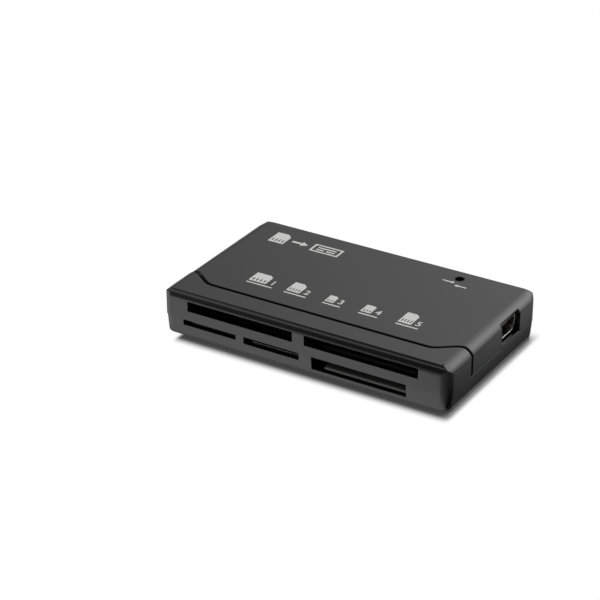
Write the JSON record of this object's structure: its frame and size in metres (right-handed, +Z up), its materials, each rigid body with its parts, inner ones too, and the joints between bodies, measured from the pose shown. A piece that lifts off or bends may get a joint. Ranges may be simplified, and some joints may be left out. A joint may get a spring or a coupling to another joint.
{
  "type": "usb memory card reader",
  "caption": "Flat black desktop reader with card slots of several widths along the front, a small five-pin side socket and a lamp hole in the top.",
  "frame": {"origin": "middle of the underside", "axes": "+X to the right along the front, +Y to the back, +Z up"},
  "size_m": [0.0714, 0.0416, 0.011],
  "materials": {
    "case_abs": "moulded black plastic, semi-gloss",
    "board_laminate": "green lacquered laminate",
    "socket_plastic": "moulded black socket plastic",
    "plated_steel": "bright plated sheet steel",
    "gilt_contact": "thin gold over copper alloy",
    "ceramic": "fired ceramic",
    "resistor_glaze": "glazed ceramic",
    "lamp_resin": "clear cast resin"
  },
  "bodies": {
    "root": {"bottom_shell": "case_abs", "front_bezel": "case_abs", "top_cover": "case_abs", "circuit_board": "board_laminate", "upper_left_tray": "socket_plastic", "upper_right_tray": "socket_plastic", "lower_left_tray": "socket_plastic", "lower_middle_tray": "socket_plastic", "lower_right_tray": "socket_plastic", "lower_right_floor": "socket_plastic", "rear_header": "socket_plastic", "usb_insulator": "socket_plastic", "controller_chip": "socket_plastic", "voltage_regulator": "socket_plastic", "upper_left_shield": "plated_steel", "upper_right_shield": "plated_steel", "lower_left_shield": "plated_steel", "lower_middle_shield": "plated_steel", "usb_shell": "plated_steel", "crystal_can": "plated_steel", "controller_leads": "plated_steel", "regulator_leads": "plated_steel", "upper_left_contacts": "gilt_contact", "upper_right_contacts": "gilt_contact", "lower_left_contacts": "gilt_contact", "lower_middle_contacts": "gilt_contact", "lower_right_contacts": "gilt_contact", "rear_pins": "gilt_contact", "usb_contacts": "gilt_contact", "chip_capacitors": "ceramic", "chip_resistors": "resistor_glaze", "status_led": "lamp_resin"}
  },
  "joints": []
}
